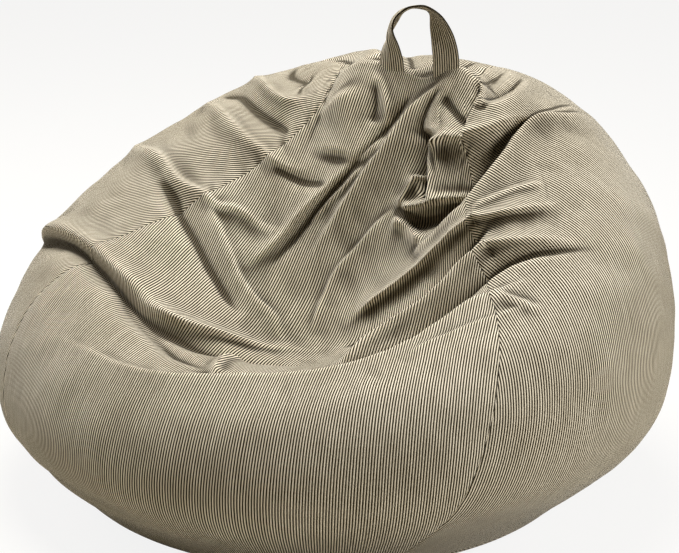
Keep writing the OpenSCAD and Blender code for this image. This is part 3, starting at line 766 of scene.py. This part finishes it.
class Nodes:
    """Short names for adding and linking nodes in one material."""

    def __init__(self, name):
        self.material = bpy.data.materials.new(name)
        self.material.use_nodes = True
        self.tree = self.material.node_tree
        self.shader = self.tree.nodes["Principled BSDF"]

    def add(self, kind, *values, **settings):
        """Adds a node, with its inputs set in order from numbers, colours or other sockets."""
        node = self.tree.nodes.new(kind)
        for key, value in settings.items():
            setattr(node, key, value)
        for socket, value in zip([s for s in node.inputs if s.enabled], values):
            self.put(socket, value)
        return node

    def put(self, socket, value):
        if isinstance(value, bpy.types.NodeSocket):
            self.tree.links.new(value, socket)
        elif value is not None:
            socket.default_value = value

    def math(self, operation, *values):
        return self.add("ShaderNodeMath", *values, operation=operation).outputs[0]

    def mix(self, factor, a, b, blend_type="MIX"):
        node = self.tree.nodes.new("ShaderNodeMix")
        node.data_type = "RGBA"
        node.blend_type = blend_type
        self.put(node.inputs["Factor"], factor)
        self.put(node.inputs["A"], a)
        self.put(node.inputs["B"], b)
        return node.outputs["Result"]

    def noise(self, vector, scale, detail=2.0, roughness=0.5):
        node = self.tree.nodes.new("ShaderNodeTexNoise")
        self.put(node.inputs["Vector"], vector)
        node.inputs["Scale"].default_value = scale
        node.inputs["Detail"].default_value = detail
        node.inputs["Roughness"].default_value = roughness
        return node.outputs["Fac"]

    def scaled(self, vector, scale):
        return self.add("ShaderNodeMapping", vector, None, None, scale).outputs[0]

    def spread(self, value, low, high, to_low=0.0, to_high=1.0):
        node = self.tree.nodes.new("ShaderNodeMapRange")
        for key, number in (("Value", value), ("From Min", low), ("From Max", high),
                            ("To Min", to_low), ("To Max", to_high)):
            self.put(node.inputs[key], number)
        return node.outputs["Result"]

    def bump(self, height, distance, strength=1.0):
        node = self.tree.nodes.new("ShaderNodeBump")
        node.inputs["Distance"].default_value = distance
        node.inputs["Strength"].default_value = strength
        self.put(node.inputs["Height"], height)
        return node.outputs["Normal"]

    def finish(self, colour, roughness, normal=None, **fixed):
        self.put(self.shader.inputs["Base Color"], colour)
        self.put(self.shader.inputs["Roughness"], roughness)
        self.put(self.shader.inputs["Normal"], normal)
        for key, value in fixed.items():
            self.shader.inputs[key.replace("_", " ")].default_value = value
        return self.material


def corduroy_material(cloth):
    """Cut ribs that run along the pattern, with a nap that is brushed this way and that."""
    n = Nodes("rib_cloth")
    pattern = n.add("ShaderNodeUVMap", uv_map="pattern").outputs[0]
    place = n.add("ShaderNodeTexCoord").outputs["Object"]
    split = n.add("ShaderNodeSeparateXYZ", pattern)
    sway = n.math("MULTIPLY", n.math("SUBTRACT", n.noise(n.scaled(pattern, (30, 9, 1)), 1.0, 2), 0.5),
                  0.0016)
    across = n.math("ADD", split.outputs[0], sway)
    turn = n.math("MULTIPLY", across, 2 * math.pi / cloth.rib_pitch)
    wave = n.math("MULTIPLY_ADD", n.math("COSINE", turn), 0.5, 0.5)
    rib = n.math("POWER", wave, 0.7)
    fibre = n.noise(n.scaled(pattern, (1400, 260, 1)), 1.0, 2)
    streak = n.noise(n.scaled(pattern, (190, 16, 1)), 1.0, 3, 0.6)
    brushed = n.noise(place, 9.0, 4, 0.55)
    broad = n.noise(place, 2.6, 2)
    # The grooves between the ribs take the groove colour, a painted shade far darker than the ribs
    colour = n.mix(n.spread(wave, 0.36, 0.74), cloth.groove_shade_colour, cloth.rib_colour)
    for value, low, high, shade in ((streak, 0.32, 0.68, 0.80), (brushed, 0.3, 0.7, 0.84),
                                    (broad, 0.35, 0.65, 0.94)):
        dark = (shade, shade * 0.985, shade * 0.955, 1)
        colour = n.mix(1.0, colour, n.mix(n.spread(value, low, high), dark, (1, 1, 1, 1)), "MULTIPLY")
    # Painted shade darkens the cloth in the creases and a painted highlight lightens it along the crests of
    # the folds, by how sharply it bends
    ridge = n.add("ShaderNodeAttribute", attribute_name="ridge").outputs["Fac"]
    for low, high, first, last in ((-0.7, -0.05, (0.22, 0.20, 0.16, 1), (1, 1, 1, 1)),
                                   (0.05, 0.7, (1, 1, 1, 1), (1.25, 1.25, 1.27, 1))):
        colour = n.mix(1.0, colour, n.mix(n.spread(ridge, low, high), first, last), "MULTIPLY")
    relief = n.math("ADD", rib, n.math("MULTIPLY", fibre, 0.12))
    normal = n.bump(relief, cloth.rib_depth, 1.0)
    n.put(n.shader.inputs["Sheen Weight"], n.spread(wave, 0.4, 0.9, 0.05, 0.5))
    return n.finish(colour, 0.92, normal, Sheen_Roughness=0.45, Sheen_Tint=(1, 0.98, 0.94, 1),
                    Specular_IOR_Level=0.15)


def plain_material(name, colour, roughness, grain_scale, grain_depth, metallic=0.0):
    """A plain finish with a fine grain in its colour and its surface."""
    n = Nodes(name)
    place = n.add("ShaderNodeTexCoord").outputs["Object"]
    grain = n.noise(place, grain_scale, 3)
    dark = tuple(c * 0.82 for c in colour[:3]) + (1,)
    shade = n.mix(n.spread(grain, 0.35, 0.65), dark, colour)
    return n.finish(shade, n.spread(grain, 0.3, 0.7, roughness - 0.08, roughness + 0.08),
                    n.bump(grain, grain_depth), Metallic=metallic)


def woven(n, pattern, pitch, depth):
    """The height of a plain weave with that pitch, and its normal."""
    split = n.add("ShaderNodeSeparateXYZ", pattern)
    waved = [n.math("SINE", n.math("MULTIPLY", split.outputs[i], math.pi / pitch)) for i in (0, 1)]
    height = n.math("MULTIPLY", waved[0], waved[1])
    return height, n.bump(height, depth)


def lining_material():
    """A thin white plain weave."""
    n = Nodes("lining_cloth")
    place = n.add("ShaderNodeTexCoord").outputs["Object"]
    height, normal = woven(n, place, 0.6 * MM, 0.15 * MM)
    # The cloth is painted darker where the weave dips: painted shade in the weave
    shade = n.mix(n.spread(height, -1, 1), (0.60, 0.60, 0.58, 1), (0.80, 0.80, 0.78, 1))
    cloud = n.mix(n.spread(n.noise(place, 14, 3), 0.3, 0.7), (0.9, 0.9, 0.9, 1), (1, 1, 1, 1))
    return n.finish(n.mix(1.0, shade, cloud, "MULTIPLY"), 0.75, normal, Sheen_Weight=0.1)


def bead_material():
    """Round white beads, packed close."""
    n = Nodes("white_beads")
    place = n.add("ShaderNodeTexCoord").outputs["Object"]
    cell = n.tree.nodes.new("ShaderNodeTexVoronoi")
    cell.inputs["Scale"].default_value = 250
    n.put(cell.inputs["Vector"], place)
    gap = cell.outputs["Distance"]
    dome = n.math("SUBTRACT", 1.0, n.math("MULTIPLY", gap, gap))
    # The beads are painted darker towards their rims and in the gaps between them: painted shade between the
    # beads
    shade = n.mix(n.spread(gap, 0.45, 0.8), (0.88, 0.88, 0.87, 1), (0.42, 0.42, 0.42, 1))
    return n.finish(shade, 0.6, n.bump(dome, 2 * MM), Subsurface_Weight=0.1)


def tape_material():
    """A ribbed woven tape."""
    n = Nodes("zip_tape")
    place = n.add("ShaderNodeTexCoord").outputs["Object"]
    split = n.add("ShaderNodeSeparateXYZ", place)
    bearing = n.math("ARCTAN2", split.outputs[1], split.outputs[0])
    row = n.math("SINE", n.math("MULTIPLY", bearing, 375 * 2 * math.pi / 0.9))
    line = n.math("SINE", n.math("MULTIPLY", split.outputs[2], 2 * math.pi / (0.8 * MM)))
    height = n.math("MULTIPLY", row, line)
    # The tape is painted darker where the weave dips: painted shade in the weave
    shade = n.mix(n.spread(height, -1, 1), (0.20, 0.165, 0.115, 1), (0.34, 0.29, 0.215, 1))
    return n.finish(shade, 0.85, n.bump(height, 0.15 * MM), Sheen_Weight=0.2)


def put_material(piece, material):
    piece.data.materials.clear()
    piece.data.materials.append(material)


# --- Settings ---------------------------------------------------------------------------------------


class BeanbagCloth(bpy.types.PropertyGroup):
    rib_pitch: FloatProperty(
        name="Rib pitch", description="Distance from one rib of the corduroy to the next",
        default=3.6 * MM, min=2 * MM, max=8 * MM, precision=4, unit="LENGTH")
    rib_depth: FloatProperty(
        name="Rib depth", description="Depth of the grooves between the ribs",
        default=1.2 * MM, min=0.2 * MM, max=2 * MM, precision=4, unit="LENGTH")
    thickness: FloatProperty(
        name="Cloth thickness", description="Thickness of the corduroy",
        default=2.5 * MM, min=1 * MM, max=4 * MM, precision=4, unit="LENGTH")
    fold_depth: FloatProperty(
        name="Fold depth", description="Depth of the folds, as a part of their full depth",
        default=1.0, min=0.0, max=1.0, subtype="FACTOR")
    rib_colour: FloatVectorProperty(
        name="Rib colour", description="Colour of the top of the ribs", subtype="COLOR", size=4,
        default=(0.97, 0.885, 0.71, 1), min=0, max=1)
    # Near black: painted shade deep in the grooves between the ribs
    groove_shade_colour: FloatVectorProperty(
        name="Groove colour", description="Colour deep between the ribs", subtype="COLOR", size=4,
        default=(0.035, 0.026, 0.010, 1), min=0, max=1)


class BeanbagStage(bpy.types.PropertyGroup):
    floor_colour: FloatVectorProperty(
        name="Floor colour", description="Colour of the floor", subtype="COLOR", size=4,
        default=(0.6, 0.57, 0.5, 1), min=0, max=1)
    camera_bearing: FloatProperty(
        name="Camera bearing", description="Bearing that the camera looks from",
        default=math.radians(26), subtype="ANGLE")
    camera_height: FloatProperty(
        name="Camera elevation", description="Angle of the camera above the horizon",
        default=math.radians(19), subtype="ANGLE")
    camera_distance: FloatProperty(
        name="Camera distance", description="Distance of the camera from the bag",
        default=3.2, min=1, unit="LENGTH")


# --- Operators --------------------------------------------------------------------------------------


class BEANBAG_OT_gores(bpy.types.Operator):
    """Make the four folded gores of the corduroy cover"""

    bl_idname = "beanbag.gores"
    bl_label = "Gores"

    def execute(self, context):
        cloth = context.scene.beanbag_cloth
        material = corduroy_material(cloth)
        for gore in GORES:
            points, pattern = gore_grid(gore, cloth.fold_depth)
            piece = grid_mesh(gore.name, points, pattern, gore.pointed, folded=True)
            put_material(piece, material)
            wall = piece.modifiers.new("wall", "SOLIDIFY")
            wall.thickness = cloth.thickness
            wall.offset = -1
            wall.use_rim_only = True
            finish_modifiers(piece)
            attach(piece, "cover")
            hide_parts(NODE_OF[gore.name])
        return {"FINISHED"}


class BEANBAG_OT_strap(bpy.types.Operator):
    """Make the corduroy carrying strap"""

    bl_idname = "beanbag.strap"
    bl_label = "Strap"

    def execute(self, context):
        points, pattern = strap_grid()
        piece = grid_mesh("strap", points, pattern)
        put_material(piece, bpy.data.materials["rib_cloth"])
        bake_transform(piece)
        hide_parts("carry_handle")
        return {"FINISHED"}


class BEANBAG_OT_base(bpy.types.Operator):
    """Make the round corduroy base"""

    bl_idname = "beanbag.base"
    bl_label = "Base"

    def execute(self, context):
        points, pattern = base_grid()
        piece = grid_mesh("base", points, pattern)
        put_material(piece, bpy.data.materials["rib_cloth"])
        wall = piece.modifiers.new("wall", "SOLIDIFY")
        wall.thickness = context.scene.beanbag_cloth.thickness
        wall.offset = -1
        finish_modifiers(piece)
        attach(piece, "cover")
        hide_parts("base_panel")
        return {"FINISHED"}


class BEANBAG_OT_inner_bag(bpy.types.Operator):
    """Make the inner bag and the beads that fill it"""

    bl_idname = "beanbag.inner_bag"
    bl_label = "Inner bag"

    def execute(self, context):
        lining = lining_material()
        parts = (("front", -45, 45, (0.69, 0.95), 0.445), ("right", 45, 135, (0.72, 0.81), 0.405),
                 ("back", 135, 225, (0.69, 0.74), 0.39), ("left", 225, 315, (0.72, 0.84), 0.415))
        for seed, (side, start, end, flat, area) in enumerate(parts):
            points, pattern = bag_grid(start, end, LINER_SCALE, 90, 50, 1.5 * MM, seed + 30)
            piece = grid_mesh("inner_" + side, points, pattern, side in ("right", "left"))
            put_material(piece, lining)
            wall = piece.modifiers.new("wall", "SOLIDIFY")
            wall.thickness = 0.8 * MM
            wall.offset = -1
            finish_modifiers(piece)
            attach(piece, "cover")
            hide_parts("liner_" + side + "_gore")
        points, pattern = bag_grid(0, 360, BEAD_SCALE, 80, 160, 1 * MM, 40)
        points[0] = drawn_in(skin(np.linspace(0, 360, 161), np.zeros(161)), BEAD_SCALE)
        piece = grid_mesh("beads", points, pattern)
        put_material(piece, bead_material())
        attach(piece, "cover")
        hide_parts("bead_filling")
        return {"FINISHED"}


class BEANBAG_OT_zips(bpy.types.Operator):
    """Make the teeth and the stitches of the cover's zip and finish the other zip parts"""

    bl_idname = "beanbag.zips"
    bl_label = "Zips"

    def execute(self, context):
        teeth = plain_material("zip_teeth", (0.20, 0.16, 0.11, 1), 0.35, 900, 0.05 * MM)
        thread = plain_material("thread", (0.52, 0.46, 0.36, 1), 0.8, 3000, 0.1 * MM)
        for side, sign, shift, slot in (("upper", 1, 0.0, "zip_teeth"), ("lower", -1, 0.5, "zip_teeth")):
            piece = box_item("teeth_" + side, [
                (sign * 3.1, 0.45, -2.3, -0.2), (sign * 0.9, 0.45, -2.3, -0.2),
                (sign * 0.3, 0.35, -2.1, -0.4), (sign * -0.4, 0.62, -2.1, -0.4),
                (sign * -0.9, 0.45, -1.9, -0.6)])
            step = (ZIP_SPAN - 2 * STOP_TURN) / TEETH
            repeat_round(piece, TEETH, ZIP_START + STOP_TURN + shift * step, ZIP_SPAN - 2 * STOP_TURN, teeth)
            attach(piece, "cover")
            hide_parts("zipper_teeth_" + side)
        for side, up in (("upper", 15.5), ("lower", -15.5)):
            piece = box_item("stitches_" + side, [
                (up - 0.5, 1.2, -0.4, 0.1), (up, 1.5, -0.4, 0.5), (up + 0.5, 1.2, -0.4, 0.1)])
            repeat_round(piece, 150, ZIP_START, ZIP_SPAN, thread)
            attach(piece, "cover")
        tape = tape_material()
        metal = plain_material("zip_metal", (0.42, 0.34, 0.22, 1), 0.34, 700, 0.05 * MM, 1.0)
        lining = bpy.data.materials["lining_cloth"]
        for node, material in (
            ("zipper_tape_upper", tape), ("zipper_tape_lower", tape), ("zipper_bottom_stop", metal),
            ("zipper_top_stops", metal), ("zipper_slider", metal), ("zipper_pull", metal),
            ("liner_base_panel", lining), ("liner_zipper_tapes", tape), ("liner_zipper_teeth", teeth),
            ("liner_zipper_slider", metal),
        ):
            put_material(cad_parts[node], material)
        return {"FINISHED"}


class BEANBAG_OT_stage(bpy.types.Operator):
    """Set the floor, the lights and the camera"""

    bl_idname = "beanbag.stage"
    bl_label = "Stage"

    def execute(self, context):
        stage = context.scene.beanbag_stage
        make_floor(stage)
        make_lights()
        make_camera(stage)
        context.scene.view_settings.view_transform = "Standard"
        return {"FINISHED"}


def make_floor(stage):
    half = 20.0
    mesh = bpy.data.meshes.new("floor")
    mesh.from_pydata([(-half, -half, 0), (half, -half, 0), (half, half, 0), (-half, half, 0)], [],
                     [(0, 1, 2, 3)])
    floor = bpy.data.objects.new("floor", mesh)
    bpy.context.collection.objects.link(floor)
    n = Nodes("floor_paint")
    seen = n.add("ShaderNodeLightPath")
    direct = n.math("MAXIMUM", seen.outputs["Is Camera Ray"],
                    n.math("MAXIMUM", seen.outputs["Is Glossy Ray"], seen.outputs["Is Transmission Ray"]))
    paint = n.add("ShaderNodeBsdfDiffuse", stage.floor_colour).outputs[0]
    glow = n.add("ShaderNodeEmission", (1, 1, 1, 1), 1.08).outputs[0]
    share = n.math("MULTIPLY", direct, 0.8)
    mixed = n.add("ShaderNodeMixShader", share, paint, glow).outputs[0]
    output = n.tree.nodes["Material Output"]
    n.tree.links.new(mixed, output.inputs["Surface"])
    put_material(floor, n.material)


def make_light(name, place, target, size, power):
    data = bpy.data.lights.new(name, "AREA")
    data.energy = power
    data.size = size
    light = bpy.data.objects.new(name, data)
    heading = Vector(target) - Vector(place)
    light.matrix_world = Matrix.Translation(place) @ heading.to_track_quat("-Z", "Y").to_matrix().to_4x4()
    bpy.context.collection.objects.link(light)


def make_lights():
    """A broad lamp above, one at each side and a pale world."""
    middle = (0, 0, 0.3)
    make_light("lamp_top", (-0.35, 0.35, 2.5), middle, 1.5, 79)
    make_light("lamp_right", (2.6, 0.1, 1.1), middle, 1.2, 40)
    make_light("lamp_left", (-2.4, 0.0, 1.4), middle, 1.2, 22)
    world = bpy.data.worlds.new("pale_world")
    bpy.context.scene.world = world
    world.use_nodes = True
    tree = world.node_tree
    seen = tree.nodes.new("ShaderNodeLightPath")
    strength = tree.nodes.new("ShaderNodeMapRange")
    tree.links.new(seen.outputs["Is Camera Ray"], strength.inputs["Value"])
    strength.inputs["To Min"].default_value = 0.18
    strength.inputs["To Max"].default_value = 0.915
    colour = tree.nodes.new("ShaderNodeMix")
    colour.data_type = "RGBA"
    tree.links.new(seen.outputs["Is Camera Ray"], colour.inputs["Factor"])
    colour.inputs["A"].default_value = (1, 0.88, 0.66, 1)
    colour.inputs["B"].default_value = (1, 1, 1, 1)
    background = tree.nodes["Background"]
    tree.links.new(colour.outputs["Result"], background.inputs["Color"])
    tree.links.new(strength.outputs["Result"], background.inputs["Strength"])


def make_camera(stage):
    bearing, height = stage.camera_bearing, stage.camera_height
    target = Vector((0.02, 0.01, 0.27))
    back = Vector((math.sin(bearing) * math.cos(height), -math.cos(bearing) * math.cos(height),
                   math.sin(height)))
    data = bpy.data.cameras.new("camera")
    data.lens = 117
    data.sensor_width = 36
    data.shift_y = 0.0346
    camera = bpy.data.objects.new("camera", data)
    place = target + back * stage.camera_distance
    camera.matrix_world = Matrix.Translation(place) @ (-back).to_track_quat("-Z", "Y").to_matrix().to_4x4()
    bpy.context.collection.objects.link(camera)
    bpy.context.scene.camera = camera


class BEANBAG_PT_panel(bpy.types.Panel):
    """Lists the pieces and their settings"""

    bl_label = "Bean bag chair"
    bl_idname = "BEANBAG_PT_panel"
    bl_space_type = "VIEW_3D"
    bl_region_type = "UI"
    bl_category = "Bean bag"

    def draw(self, context):
        for group in (context.scene.beanbag_cloth, context.scene.beanbag_stage):
            box = self.layout.box()
            for key in group.__annotations__:
                box.prop(group, key)
        for operator in STEPS:
            self.layout.operator(operator.bl_idname)


STEPS = (BEANBAG_OT_gores, BEANBAG_OT_strap, BEANBAG_OT_base, BEANBAG_OT_inner_bag,
         BEANBAG_OT_zips, BEANBAG_OT_stage)
CLASSES = (BeanbagCloth, BeanbagStage) + STEPS + (BEANBAG_PT_panel,)


def register():
    for item in CLASSES:
        bpy.utils.register_class(item)
    bpy.types.Scene.beanbag_cloth = PointerProperty(type=BeanbagCloth)
    bpy.types.Scene.beanbag_stage = PointerProperty(type=BeanbagStage)


def unregister():
    del bpy.types.Scene.beanbag_stage
    del bpy.types.Scene.beanbag_cloth
    for item in reversed(CLASSES):
        bpy.utils.unregister_class(item)


def main():
    register()
    bpy.ops.beanbag.gores()
    bpy.ops.beanbag.strap()
    bpy.ops.beanbag.base()
    bpy.ops.beanbag.inner_bag()
    bpy.ops.beanbag.zips()
    bpy.ops.beanbag.stage()


if __name__ == "__main__":
    main()
